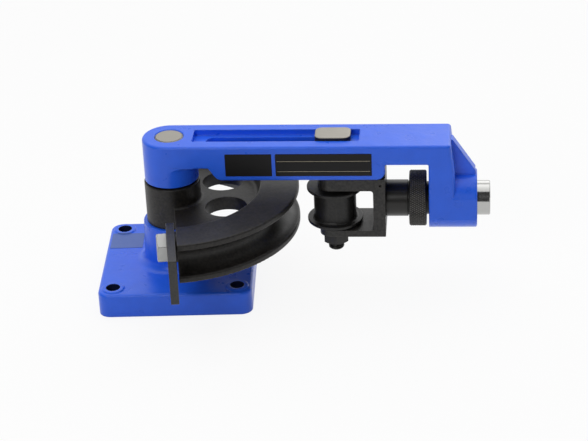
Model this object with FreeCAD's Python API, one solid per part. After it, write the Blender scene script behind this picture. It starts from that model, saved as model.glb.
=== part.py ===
import FreeCAD, Part
import math
import os

from FreeCAD import Vector

# Manual pipe bender. Lengths in millimetres, angles in degrees.
# The arm lies along +X, Z is up, and the origin is the pillar axis at the underside of the base.

# Fits and gaps
FIXED_FIT = 0.02
RUNNING_FIT = 0.05
BOLT_FIT = 0.3
FACE_GAP = 0.1
GUIDE_GAP = 0.3
CUT_OVER = 5.0
FUSE_LAP = 1.0

# Base casting
BASE_LENGTH = 153.7
BASE_WIDTH = 153.5
BASE_HEIGHT = 24.5
BASE_CORNER = 12.0
BASE_EDGE = 3.0
BASE_SHIFT_X = 1.8
BASE_SHIFT_Y = -1.2
BASE_TURN = 2.7
BASE_HOLE_SPACING = 124.0
BASE_HOLE_DIA = 14.0
BOSS_DIA = 21.0
BOSS_HEIGHT = 1.2
PILLAR_FOOT_DIA = 67.0
PILLAR_TOP_DIA = 63.0
PILLAR_HEIGHT = 45.5
PILLAR_FILLET = 9.0
PILLAR_EDGE = 1.0

# Base label
BASE_LABEL_LENGTH = 33.5
BASE_LABEL_WIDTH = 31.5
BASE_LABEL_X = -55.2
BASE_LABEL_Y = 36.2
LABEL_THICKNESS = 0.3

# Pivot
PIN_DIA = 28.5
PIN_FLOOR = 12.0
PIN_CHAMFER = 1.0
PIN_LOCK_DIA = 8.0
PIN_LOCK_LENGTH = 14.0
PIN_LOCK_DEPTH = 24.0
DOWEL_DIA = 6.0
DOWEL_LENGTH = 16.0
THRUST_WASHER_DIA = 47.0
THRUST_WASHER_THICKNESS = 2.0

# Pipe and bending die
PIPE_DIA = 26.9
PIPE_CLEARANCE = 0.25
PIPE_RISE = 14.5
DIE_TURN = 8.9
DIE_DIA = 254.0
DIE_BELOW_PIPE = 20.6
DIE_ABOVE_PIPE = 20.5
DIE_EDGE = 1.6
GROOVE_DEPTH = 17.0
GROOVE_EDGE = 2.0
RIM_WIDTH = 42.0
RIM_SLOPE = 3.0
RIM_UNDER_SLOPE = 6.0
RIM_FILLET = 4.0
WEB_BELOW_PIPE = 6.1
WEB_THICKNESS = 14.1
HUB_DIA = 55.8
HUB_HEIGHT = 44.0
HUB_FILLET = 3.0
HUB_EDGE = 0.8
WEB_HOLE_DIA = 42.0
WEB_HOLE_CIRCLE_DIA = 118.0
WEB_HOLE_ANGLE = 29.1

# Clamp plate on the die's flat end
CLAMP_BOLT_INSET = 31.7
CLAMP_BOLT_RISE = 1.0
CLAMP_BOLT_DIA = 16.0
CLAMP_BOLT_DEPTH = 30.0
CLAMP_HEAD_ACROSS_FLATS = 27.0
CLAMP_HEAD_HEIGHT = 10.0
HEAD_FACE_INSET = 1.0
HEAD_CONE_RUN = 18.0
CLAMP_SPACER_DIA = 30.0
CLAMP_SPACER_THICKNESS = 1.5
CLAMP_THICKNESS = 8.0
CLAMP_ABOVE_PIPE = 21.5
CLAMP_BELOW_PIPE = 25.3
CLAMP_OUTER_REACH = 35.3
CLAMP_INNER_REACH = 55.7
CLAMP_INNER_CORNER = 14.0
CLAMP_OUTER_CORNER = 1.5
CLAMP_STEP_INSET = 18.7
CLAMP_STEP = 1.0
CLAMP_EYE_CLEARANCE = 0.7

# Arm casting
KNUCKLE_HEIGHT = 44.8
KNUCKLE_FILLET = 5.0
ARM_WIDTH = 54.0
ARM_EDGE = 2.6
ARM_CORNER = 4.0
ARM_SIDE_EDGE = 2.0
NOTCH_CORNER = 1.5
LEFT_BAR_DEPTH = 23.6
LEFT_NOTCH_END_X = 44.7
WALL_DEPTH = 36.7
WALL_CORNER = 9.0
WALL_THICKNESS = 6.7
WALL_PAST_YOKE = 0.5
RIGHT_BAR_DEPTH = 20.6
TOP_PLATE = 12.0
CHANNEL_INSET = 7.3
CHANNEL_PAST_YOKE = 7.7
CHANNEL_CORNER = 5.0
RECESS_START_X = 24.0
RECESS_DEPTH = 6.0
RECESS_CORNER = 2.0
RECESS_SIDE_GAP = 0.95
RECESS_END_GAP = 8.5
SLOT_INSET = 13.0
SLOT_SIDE_GAP = 0.5
SLOT_END_GAP = 5.5
SLOT_FLAT = 0.5
SCREW_DROP = 69.5
BLOCK_LENGTH = 25.7
BLOCK_RING_GAP = 2.6
BLOCK_DRAFT = 4.1
BLOCK_DRAFT_DEPTH = 31.0
END_BOSS_DIA = 58.6
END_BOSS_LENGTH = 21.8
END_BOSS_EDGE = 2.0
RIB_THICKNESS = 12.0
RIB_TOP_RUN = 2.0
RIB_TOP_DEPTH = 3.0
RIB_FOOT_INSET = 1.6
RIB_FOOT_SINK = 1.5
RIB_EDGE = 2.0

# Label plates on the arm's front
ARM_LABEL_HEIGHT = 24.0
ARM_LABEL_DEPTH = 31.5
SHORT_LABEL_INSET = 13.0
SHORT_LABEL_LENGTH = 46.0
LABEL_SPACE = 3.6
LONG_LABEL_END_INSET = 12.9

# Yoke
YOKE_WIDTH = 49.0
YOKE_BACK_REACH = 14.8
YOKE_REACH = 51.3
YOKE_WALL = 12.0
YOKE_FLOOR = 6.8
YOKE_CEILING = 12.4
YOKE_WINDOW_CORNER = 3.0
YOKE_CORNER = 12.0
YOKE_EDGE = 0.8
YOKE_TOP_GAP = 0.7
GUIDE_INSET = 2.3
GUIDE_HEAD_GAP = 0.7
DIMPLE_DIA = 3.0
DIMPLE_DEPTH = 2.0
DIMPLE_INSET = 4.7
DIMPLE_RISE = 5.8

# Roller and its bolt
ROLLER_DIE_GAP = 8.2
ROLLER_WAIST_DIA = 42.4
ROLLER_FLANGE_DIA = 55.6
ROLLER_FLANGE_THICKNESS = 3.0
ROLLER_HEIGHT = 37.8
ROLLER_FILLET = 2.5
ROLLER_EDGE = 0.6
ROLLER_BUSH_DIA = 22.0
ROLLER_WASHER_DIA = 34.0
UPPER_WASHER_THICKNESS = 4.5
LOWER_WASHER_THICKNESS = 1.7
ROLLER_BOLT_DIA = 16.0
ROLLER_BOLT_TAIL = 8.4
BOLT_END_CHAMFER = 1.5
CAP_LENGTH = 35.4
CAP_WIDTH = 25.1
CAP_CORNER = 7.0
CAP_PROUD = 3.0
CAP_EDGE = 0.8
NUT_ACROSS_FLATS = 24.0
NUT_HEIGHT = 13.0
NUT_TURN = 34.0
NUT_FACE_INSET = 0.5
NUT_CHAMFER_RUN = 2.6
NUT_CHAMFER_HEIGHT = 1.5
NUT_WASHER_DIA = 30.0
NUT_WASHER_THICKNESS = 3.0

# Feed screw and knurled ring
SCREW_DIA = 33.0
SCREW_IN_BLOCK = 12.0
SCREW_HOLE_WALL = 4.0
SCREW_NECK_DIA = 34.0
SPIGOT_DIA = 20.0
SPIGOT_WALL = 1.0
SPIGOT_GROOVE_DIA = 16.0
SPIGOT_CHAMFER = 0.8
SLEEVE_DIA = 36.6
SLEEVE_LENGTH = 22.2
SLEEVE_EDGE = 0.6
SWIVEL_PIN_DIA = 5.0
SWIVEL_PIN_RISE = 9.5
RING_DIA = 56.0
RING_INSET = 1.0
RING_WIDTH = 17.0
RING_CHAMFER = 1.2
NECK_PAST_RING = 0.3
GRUB_DIA = 6.0
GRUB_INSET = 1.0

# Lever tube
TUBE_DIA = 34.6
TUBE_WALL = 3.0
TUBE_SEAT_DEPTH = 22.3
TUBE_REACH = 12.9
TUBE_CHAMFER = 0.8
TUBE_LOCK_DIA = 8.0
TUBE_LOCK_INSET = 10.0

# Heights, worked up from the base
SHOULDER_Z = BASE_HEIGHT + PILLAR_HEIGHT
PIN_LOCK_Z = SHOULDER_Z - PIN_LOCK_DEPTH
HUB_TOP_Z = SHOULDER_Z + HUB_HEIGHT
PIPE_Z = SHOULDER_Z + PIPE_RISE
DIE_BOTTOM_Z = PIPE_Z - DIE_BELOW_PIPE
DIE_TOP_Z = PIPE_Z + DIE_ABOVE_PIPE
WEB_BOTTOM_Z = PIPE_Z - WEB_BELOW_PIPE
WEB_TOP_Z = WEB_BOTTOM_Z + WEB_THICKNESS
CLAMP_TOP_Z = PIPE_Z + CLAMP_ABOVE_PIPE
CLAMP_BOTTOM_Z = PIPE_Z - CLAMP_BELOW_PIPE
CLAMP_BOLT_Z = PIPE_Z + CLAMP_BOLT_RISE
KNUCKLE_BOTTOM_Z = HUB_TOP_Z + THRUST_WASHER_THICKNESS + 2 * FACE_GAP
ARM_TOP_Z = KNUCKLE_BOTTOM_Z + KNUCKLE_HEIGHT
LEFT_NOTCH_Z = ARM_TOP_Z - LEFT_BAR_DEPTH
WALL_BOTTOM_Z = ARM_TOP_Z - WALL_DEPTH
RIGHT_NOTCH_Z = ARM_TOP_Z - RIGHT_BAR_DEPTH
CHANNEL_TOP_Z = ARM_TOP_Z - TOP_PLATE
RECESS_FLOOR_Z = ARM_TOP_Z - RECESS_DEPTH
BLOCK_DRAFT_Z = ARM_TOP_Z - BLOCK_DRAFT_DEPTH
SCREW_Z = ARM_TOP_Z - SCREW_DROP
RIB_TOP_Z = ARM_TOP_Z - RIB_TOP_DEPTH
RIB_FOOT_Z = SCREW_Z + END_BOSS_DIA / 2 - RIB_FOOT_SINK
ARM_LABEL_BOTTOM_Z = ARM_TOP_Z - ARM_LABEL_DEPTH
CAP_TOP_Z = ARM_TOP_Z + CAP_PROUD
YOKE_TOP_Z = WALL_BOTTOM_Z - YOKE_TOP_GAP
YOKE_CEILING_Z = YOKE_TOP_Z - YOKE_CEILING
ROLLER_TOP_Z = YOKE_CEILING_Z - UPPER_WASHER_THICKNESS - FACE_GAP
ROLLER_BOTTOM_Z = ROLLER_TOP_Z - ROLLER_HEIGHT
YOKE_FLOOR_Z = ROLLER_BOTTOM_Z - FACE_GAP - LOWER_WASHER_THICKNESS
YOKE_BOTTOM_Z = YOKE_FLOOR_Z - YOKE_FLOOR
DIMPLE_Z = YOKE_CEILING_Z + DIMPLE_RISE
NUT_TOP_Z = YOKE_BOTTOM_Z - NUT_WASHER_THICKNESS
NUT_BOTTOM_Z = NUT_TOP_Z - NUT_HEIGHT
ROLLER_BOLT_END_Z = NUT_BOTTOM_Z - ROLLER_BOLT_TAIL
SWIVEL_PIN_TOP_Z = SCREW_Z + SWIVEL_PIN_RISE

# Radii from the pillar's axis
PIN_BORE_R = PIN_DIA / 2 + FIXED_FIT
DOWEL_CIRCLE_DIA = (PIN_DIA + HUB_DIA) / 2
GROOVE_R = PIPE_DIA / 2 + PIPE_CLEARANCE
PIPE_RADIUS = DIE_DIA / 2 - GROOVE_DEPTH + GROOVE_R
CLAMP_BOLT_RADIUS = PIPE_RADIUS - CLAMP_BOLT_INSET
CLAMP_OUTER_RADIUS = PIPE_RADIUS + CLAMP_OUTER_REACH
CLAMP_INNER_RADIUS = PIPE_RADIUS - CLAMP_INNER_REACH
CLAMP_STEP_RADIUS = PIPE_RADIUS - CLAMP_STEP_INSET

# Places along the arm, from the die to the lever tube
ARM_HALF = ARM_WIDTH / 2
ROLLER_X = DIE_DIA / 2 + ROLLER_DIE_GAP + ROLLER_FLANGE_DIA / 2
YOKE_START_X = ROLLER_X - YOKE_BACK_REACH
YOKE_END_X = ROLLER_X + YOKE_REACH
YOKE_WALL_X = YOKE_END_X - YOKE_WALL
GUIDE_START_X = YOKE_START_X + GUIDE_INSET
DIMPLE_X = YOKE_END_X - DIMPLE_INSET
SWIVEL_PIN_X = YOKE_WALL_X + YOKE_WALL / 2
SWIVEL_PIN_Y = -(SPIGOT_GROOVE_DIA + SWIVEL_PIN_DIA) / 2 - RUNNING_FIT
WALL_END_X = YOKE_END_X + WALL_PAST_YOKE
CHANNEL_START_X = LEFT_NOTCH_END_X + CHANNEL_INSET
CHANNEL_END_X = YOKE_END_X + CHANNEL_PAST_YOKE
RECESS_END_X = ROLLER_X + CAP_LENGTH / 2 + RECESS_END_GAP
SLOT_START_X = RECESS_START_X + SLOT_INSET
SLOT_END_X = ROLLER_X + ROLLER_BOLT_DIA / 2 + SLOT_END_GAP
SPIGOT_START_X = YOKE_WALL_X + SPIGOT_WALL + 2 * FACE_GAP
SCREW_NECK_START_X = YOKE_END_X + SLEEVE_LENGTH + FACE_GAP
RING_START_X = SCREW_NECK_START_X + RING_INSET
RING_END_X = RING_START_X + RING_WIDTH
SCREW_NECK_END_X = RING_END_X + NECK_PAST_RING
BLOCK_START_X = RING_END_X + BLOCK_RING_GAP
SCREW_END_X = BLOCK_START_X + SCREW_IN_BLOCK
BLOCK_END_X = BLOCK_START_X + BLOCK_LENGTH
BLOCK_TOP_END_X = BLOCK_END_X - BLOCK_DRAFT
END_BOSS_X = BLOCK_END_X + END_BOSS_LENGTH
RIB_TOP_X = BLOCK_TOP_END_X + RIB_TOP_RUN
RIB_FOOT_X = END_BOSS_X - RIB_FOOT_INSET
TUBE_SEAT_X = END_BOSS_X - TUBE_SEAT_DEPTH
TUBE_LOCK_X = END_BOSS_X - TUBE_LOCK_INSET
TUBE_END_X = END_BOSS_X + TUBE_REACH
SHORT_LABEL_START_X = LEFT_NOTCH_END_X + SHORT_LABEL_INSET
SHORT_LABEL_END_X = SHORT_LABEL_START_X + SHORT_LABEL_LENGTH
LONG_LABEL_START_X = SHORT_LABEL_END_X + LABEL_SPACE
LONG_LABEL_END_X = WALL_END_X - LONG_LABEL_END_INSET
CLAMP_FACE_X = -CLAMP_SPACER_THICKNESS
CLAMP_BACK_X = CLAMP_FACE_X - CLAMP_THICKNESS


def box(x0, x1, y0, y1, z0, z1):
    return Part.makeBox(x1 - x0, y1 - y0, z1 - z0, Vector(x0, y0, z0))


def upright(diameter, z0, z1, x=0.0, y=0.0):
    """Cylinder along Z."""
    return Part.makeCylinder(diameter / 2, z1 - z0, Vector(x, y, z0))


def lying(diameter, x0, x1, y=0.0, z=0.0):
    """Cylinder along X."""
    return Part.makeCylinder(diameter / 2, x1 - x0, Vector(x0, y, z), Vector(1, 0, 0))


def across(diameter, y0, y1, x=0.0, z=0.0):
    """Cylinder along Y."""
    return Part.makeCylinder(diameter / 2, y1 - y0, Vector(x, y0, z), Vector(0, 1, 0))


def rounded_wire(points):
    """Closed wire in the XY plane through (x, y, corner radius) points."""
    count = len(points)
    starts, ends, middles = [], [], []
    for i, (x, y, radius) in enumerate(points):
        corner = Vector(x, y, 0)
        before = Vector(*points[i - 1][:2], 0) - corner
        after = Vector(*points[(i + 1) % count][:2], 0) - corner
        before.normalize()
        after.normalize()
        half = before.getAngle(after) / 2
        run = radius / math.tan(half)
        starts.append(corner + before * run)
        ends.append(corner + after * run)
        bisector = before + after
        if radius:
            bisector.normalize()
        middles.append(corner + bisector * (radius / math.sin(half) - radius))
    edges = []
    for i, (x, y, radius) in enumerate(points):
        if radius:
            edges.append(Part.Arc(starts[i], middles[i], ends[i]).toShape())
        here, there = ends[i], starts[(i + 1) % count]
        if here.distanceToPoint(there) > 1e-6:
            edges.append(Part.LineSegment(here, there).toShape())
    return Part.Wire(edges)


def slab(points, z0, z1):
    """Outline in XY raised from z0 to z1."""
    solid = Part.Face(rounded_wire(points)).extrude(Vector(0, 0, z1 - z0))
    solid.translate(Vector(0, 0, z0))
    return solid


def side_plate(points, y0, y1):
    """Outline given as (x, z, corner radius), from y0 to y1."""
    solid = Part.Face(rounded_wire(points)).extrude(Vector(0, 0, y1 - y0))
    solid.rotate(Vector(0, 0, 0), Vector(1, 0, 0), 90)
    solid.translate(Vector(0, y1, 0))
    return solid


def turned(points, angle=360.0):
    """Outline given as (radius, z, corner radius), turned about Z."""
    face = Part.Face(rounded_wire(points))
    face.rotate(Vector(0, 0, 0), Vector(1, 0, 0), 90)
    return face.revolve(Vector(0, 0, 0), Vector(0, 0, 1), angle)


def turned_about_x(points):
    """Outline given as (x, radius, corner radius), turned about the screw axis."""
    face = Part.Face(rounded_wire(points))
    solid = face.revolve(Vector(0, 0, 0), Vector(1, 0, 0), 360)
    solid.translate(Vector(0, 0, SCREW_Z))
    return solid


def rectangle(length, width, corner, x=0.0, y=0.0):
    a, b = length / 2, width / 2
    return [(x - a, y - b, corner), (x + a, y - b, corner),
            (x + a, y + b, corner), (x - a, y + b, corner)]


def span(x0, x1, width, corner):
    return rectangle(x1 - x0, width, corner, (x0 + x1) / 2)


def hexagon(across_flats, z0, z1, turn=0.0):
    radius = across_flats / math.sqrt(3)
    angles = [math.radians(60 * i + turn) for i in range(6)]
    return slab([(radius * math.cos(angle), radius * math.sin(angle), 0) for angle in angles], z0, z1)


def washer(outer, inner, z0, z1, x=0.0):
    return upright(outer, z0, z1, x).cut(upright(inner, z0 - CUT_OVER, z1 + CUT_OVER, x))


def round_edges(solid, radius, wanted):
    return solid.makeFillet(radius, [edge for edge in solid.Edges if wanted(edge.BoundBox)])


def turn_base(shape):
    shape.rotate(Vector(0, 0, 0), Vector(0, 0, 1), BASE_TURN)
    return shape


def turn_die(shape):
    shape.rotate(Vector(0, 0, 0), Vector(0, 0, 1), DIE_TURN)
    return shape


def dowel_places():
    return [(0.0, DOWEL_CIRCLE_DIA / 2), (0.0, -DOWEL_CIRCLE_DIA / 2)]


def base_hole_places():
    half = BASE_HOLE_SPACING / 2
    return [(BASE_SHIFT_X + i * half, BASE_SHIFT_Y + j * half) for i in (-1, 1) for j in (-1, 1)]


def base_plate():
    """Plate with its bolt bosses, before it is turned and drilled."""
    outline = rectangle(BASE_LENGTH, BASE_WIDTH, BASE_CORNER, BASE_SHIFT_X, BASE_SHIFT_Y)
    plate = slab(outline, 0, BASE_HEIGHT)
    plate = round_edges(plate, BASE_EDGE, lambda b: b.ZMin > BASE_HEIGHT - 0.01)
    for x, y in base_hole_places():
        foot = Vector(x, y, BASE_HEIGHT)
        plate = plate.fuse(Part.makeCone(BOSS_DIA / 2 + BOSS_HEIGHT, BOSS_DIA / 2, BOSS_HEIGHT, foot))
    return plate


def make_base():
    foot, top = PILLAR_FOOT_DIA / 2, PILLAR_TOP_DIA / 2
    skirt = foot + PILLAR_FILLET
    pillar = turned([(0, BASE_HEIGHT - CUT_OVER, 0), (skirt + CUT_OVER, BASE_HEIGHT - CUT_OVER, 0),
                     (skirt + CUT_OVER, BASE_HEIGHT, 0), (foot, BASE_HEIGHT, PILLAR_FILLET),
                     (top, SHOULDER_Z, PILLAR_EDGE), (0, SHOULDER_Z, 0)])
    solid = base_plate().fuse(pillar)
    for x, y in base_hole_places():
        solid = solid.cut(upright(BASE_HOLE_DIA, -CUT_OVER, BASE_HEIGHT + CUT_OVER, x, y))
    solid = turn_base(solid)
    solid = solid.cut(upright(2 * PIN_BORE_R, PIN_FLOOR, SHOULDER_Z + CUT_OVER))
    solid = solid.cut(across(PIN_LOCK_DIA + 2 * FIXED_FIT, 0, PILLAR_FOOT_DIA, 0, PIN_LOCK_Z))
    pocket_floor = SHOULDER_Z - DOWEL_LENGTH / 2
    for x, y in dowel_places():
        pocket = upright(DOWEL_DIA + 2 * FIXED_FIT, pocket_floor, SHOULDER_Z + CUT_OVER, x, y)
        solid = solid.cut(turn_die(pocket))
    return solid.removeSplitter()


def make_base_label():
    """Follows the plate over the edge of a bolt boss."""
    outline = rectangle(BASE_LABEL_LENGTH, BASE_LABEL_WIDTH, 0, BASE_LABEL_X, BASE_LABEL_Y)
    space = slab(outline, BASE_HEIGHT - BASE_EDGE, BASE_HEIGHT + BOSS_HEIGHT + LABEL_THICKNESS)
    plate = base_plate()
    raised = plate.translated(Vector(0, 0, LABEL_THICKNESS))
    return turn_base(space.common(raised).cut(plate))


def make_pivot_pin():
    radius, low, high = PIN_DIA / 2, PIN_FLOOR, ARM_TOP_Z
    return turned([(0, low, 0), (radius - PIN_CHAMFER, low, 0), (radius, low + PIN_CHAMFER, 0),
                   (radius, high - PIN_CHAMFER, 0), (radius - PIN_CHAMFER, high, 0), (0, high, 0)])


def make_pivot_lock_screw():
    start = PIN_DIA / 2 + FACE_GAP
    return across(PIN_LOCK_DIA, start, start + PIN_LOCK_LENGTH, 0, PIN_LOCK_Z)


def make_die_dowels():
    low, high = SHOULDER_Z - DOWEL_LENGTH / 2, SHOULDER_Z + DOWEL_LENGTH / 2
    pins = [turn_die(upright(DOWEL_DIA, low, high, x, y)) for x, y in dowel_places()]
    return Part.makeCompound(pins)


def make_thrust_washer():
    bore = PIN_DIA + 2 * BOLT_FIT
    return washer(THRUST_WASHER_DIA, bore, HUB_TOP_Z, HUB_TOP_Z + THRUST_WASHER_THICKNESS)


def make_die():
    rim_out, hub = DIE_DIA / 2, HUB_DIA / 2
    rim_in = rim_out - RIM_WIDTH
    groove_floor = rim_out - GROOVE_DEPTH
    groove_low, groove_high = PIPE_Z - GROOVE_R, PIPE_Z + GROOVE_R
    rim = [(hub - CUT_OVER, WEB_BOTTOM_Z, 0), (rim_in, WEB_BOTTOM_Z, RIM_FILLET),
           (rim_in + RIM_UNDER_SLOPE, DIE_BOTTOM_Z, DIE_EDGE), (rim_out, DIE_BOTTOM_Z, DIE_EDGE),
           (rim_out, groove_low, GROOVE_EDGE), (groove_floor, groove_low, GROOVE_R),
           (groove_floor, groove_high, GROOVE_R), (rim_out, groove_high, GROOVE_EDGE),
           (rim_out, DIE_TOP_Z, DIE_EDGE), (rim_in + RIM_SLOPE, DIE_TOP_Z, DIE_EDGE),
           (rim_in, WEB_TOP_Z, RIM_FILLET), (hub, WEB_TOP_Z, HUB_FILLET),
           (hub - FUSE_LAP, HUB_TOP_Z - FUSE_LAP, 0), (hub - CUT_OVER, HUB_TOP_Z - FUSE_LAP, 0)]
    half = turned(rim, 180)
    half.rotate(Vector(0, 0, 0), Vector(0, 0, 1), -90)
    hub_solid = turned([(0, SHOULDER_Z, 0), (hub, SHOULDER_Z, HUB_EDGE), (hub, HUB_TOP_Z, HUB_EDGE),
                        (0, HUB_TOP_Z, 0)])
    solid = half.fuse(hub_solid)
    solid = solid.cut(upright(2 * PIN_BORE_R, SHOULDER_Z - CUT_OVER, HUB_TOP_Z + CUT_OVER))
    for angle in (-WEB_HOLE_ANGLE, WEB_HOLE_ANGLE):
        x = WEB_HOLE_CIRCLE_DIA / 2 * math.cos(math.radians(angle))
        y = WEB_HOLE_CIRCLE_DIA / 2 * math.sin(math.radians(angle))
        solid = solid.cut(upright(WEB_HOLE_DIA, WEB_BOTTOM_Z - CUT_OVER, WEB_TOP_Z + CUT_OVER, x, y))
    for x, y in dowel_places():
        top = SHOULDER_Z + DOWEL_LENGTH / 2 + FACE_GAP
        solid = solid.cut(upright(DOWEL_DIA + 2 * FIXED_FIT, SHOULDER_Z - CUT_OVER, top, x, y))
    bolt_hole = lying(CLAMP_BOLT_DIA + 2 * FIXED_FIT, -CUT_OVER, CLAMP_BOLT_DEPTH + FACE_GAP,
                      -CLAMP_BOLT_RADIUS, CLAMP_BOLT_Z)
    return turn_die(solid.cut(bolt_hole))


def make_clamp_plate():
    top, step = CLAMP_TOP_Z, CLAMP_TOP_Z - CLAMP_STEP
    outline = [(-CLAMP_OUTER_RADIUS, CLAMP_BOTTOM_Z, CLAMP_OUTER_CORNER),
               (-CLAMP_INNER_RADIUS, CLAMP_BOTTOM_Z, CLAMP_INNER_CORNER),
               (-CLAMP_INNER_RADIUS, step, CLAMP_INNER_CORNER),
               (-CLAMP_STEP_RADIUS, step, 0), (-CLAMP_STEP_RADIUS, top, 0),
               (-CLAMP_OUTER_RADIUS, top, CLAMP_OUTER_CORNER)]
    plate = Part.Face(rounded_wire(outline)).extrude(Vector(0, 0, CLAMP_THICKNESS))
    plate.rotate(Vector(0, 0, 0), Vector(1, 1, 1), 120)
    plate.translate(Vector(CLAMP_BACK_X, 0, 0))
    bore = CLAMP_BOLT_DIA + 2 * RUNNING_FIT
    plate = plate.cut(lying(bore, CLAMP_BACK_X - CUT_OVER, CUT_OVER, -CLAMP_BOLT_RADIUS, CLAMP_BOLT_Z))
    eye = PIPE_DIA + 2 * CLAMP_EYE_CLEARANCE
    plate = plate.cut(lying(eye, CLAMP_BACK_X - CUT_OVER, CUT_OVER, -PIPE_RADIUS, PIPE_Z))
    return turn_die(plate)


def make_clamp_bolt():
    seat = CLAMP_BACK_X - FACE_GAP
    face_radius = CLAMP_HEAD_ACROSS_FLATS / 2 - HEAD_FACE_INSET
    cone = Part.makeCone(face_radius, face_radius + HEAD_CONE_RUN, CLAMP_HEAD_HEIGHT,
                         Vector(0, 0, -CLAMP_HEAD_HEIGHT))
    head = hexagon(CLAMP_HEAD_ACROSS_FLATS, -CLAMP_HEAD_HEIGHT, 0).common(cone)
    head.rotate(Vector(0, 0, 0), Vector(0, 1, 0), 90)
    head.translate(Vector(seat, -CLAMP_BOLT_RADIUS, CLAMP_BOLT_Z))
    shank = lying(CLAMP_BOLT_DIA, seat, CLAMP_BOLT_DEPTH, -CLAMP_BOLT_RADIUS, CLAMP_BOLT_Z)
    return turn_die(head.fuse(shank))


def make_clamp_spacer():
    ring = lying(CLAMP_SPACER_DIA, CLAMP_FACE_X, 0, -CLAMP_BOLT_RADIUS, CLAMP_BOLT_Z)
    hole = lying(CLAMP_BOLT_DIA + 2 * BOLT_FIT, -CUT_OVER, CUT_OVER, -CLAMP_BOLT_RADIUS, CLAMP_BOLT_Z)
    return turn_die(ring.cut(hole))


def knuckle_collar():
    """Fillet between the knuckle and the bar's underside."""
    inside, edge = ARM_HALF - FUSE_LAP, ARM_HALF + 2 * KNUCKLE_FILLET
    low, high = LEFT_NOTCH_Z - 2 * KNUCKLE_FILLET, LEFT_NOTCH_Z + FUSE_LAP
    collar = turned([(inside, low, 0), (ARM_HALF, low, 0), (ARM_HALF, LEFT_NOTCH_Z, KNUCKLE_FILLET),
                     (edge, LEFT_NOTCH_Z, 0), (edge, high, 0), (inside, high, 0)])
    return collar.common(box(0, edge, -ARM_HALF, ARM_HALF, low, high))


def end_outline():
    """The arm's plan with its end corners rounded, leaning with the end block's draft."""
    plan = [(-CUT_OVER, -ARM_HALF, 0), (BLOCK_END_X, -ARM_HALF, ARM_CORNER),
            (BLOCK_END_X, ARM_HALF, ARM_CORNER), (-CUT_OVER, ARM_HALF, 0)]
    low = slab(plan, 0, BLOCK_DRAFT_Z)
    high = Part.Face(rounded_wire(plan)).extrude(Vector(-BLOCK_DRAFT, 0, BLOCK_DRAFT_DEPTH))
    high.translate(Vector(0, 0, BLOCK_DRAFT_Z))
    return low.fuse(high)


def arm_body():
    """Outside of the arm, before its recess, slot, channel and bores."""
    top = ARM_TOP_Z
    bottom = SCREW_Z - END_BOSS_DIA / 2
    side = [(0, LEFT_NOTCH_Z, 0), (LEFT_NOTCH_END_X - WALL_CORNER / 2, LEFT_NOTCH_Z, NOTCH_CORNER),
            (LEFT_NOTCH_END_X + WALL_CORNER / 2, WALL_BOTTOM_Z, WALL_CORNER),
            (WALL_END_X, WALL_BOTTOM_Z, WALL_CORNER), (WALL_END_X, RIGHT_NOTCH_Z, NOTCH_CORNER),
            (BLOCK_START_X, RIGHT_NOTCH_Z, NOTCH_CORNER), (BLOCK_START_X, bottom, 0),
            (BLOCK_END_X, bottom, 0), (BLOCK_END_X, BLOCK_DRAFT_Z, 0), (BLOCK_TOP_END_X, top, 0), (0, top, 0)]
    bar = side_plate(side, -ARM_HALF, ARM_HALF)
    past_end = BLOCK_END_X + CUT_OVER
    section_top = box(-CUT_OVER, past_end, -ARM_WIDTH, ARM_WIDTH, SCREW_Z, top + CUT_OVER)
    bar = bar.common(section_top.fuse(lying(END_BOSS_DIA, -CUT_OVER, past_end, 0, SCREW_Z)))
    bar = bar.common(end_outline()).removeSplitter()

    def on_side(b):
        """Lower edges of the two sides, left of the block's end; the round underside's edge joins them."""
        inside = 1.0 < b.XMax < BLOCK_END_X - 0.01 and SCREW_Z + 0.01 < b.ZMax < top - 0.01
        return inside and b.YMax - b.YMin < 0.01

    bar = round_edges(bar, ARM_SIDE_EDGE, on_side)
    body = bar.fuse([upright(ARM_WIDTH, KNUCKLE_BOTTOM_Z, top), knuckle_collar()]).removeSplitter()
    return round_edges(body, ARM_EDGE, lambda b: b.ZMin > top - 0.01)


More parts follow.
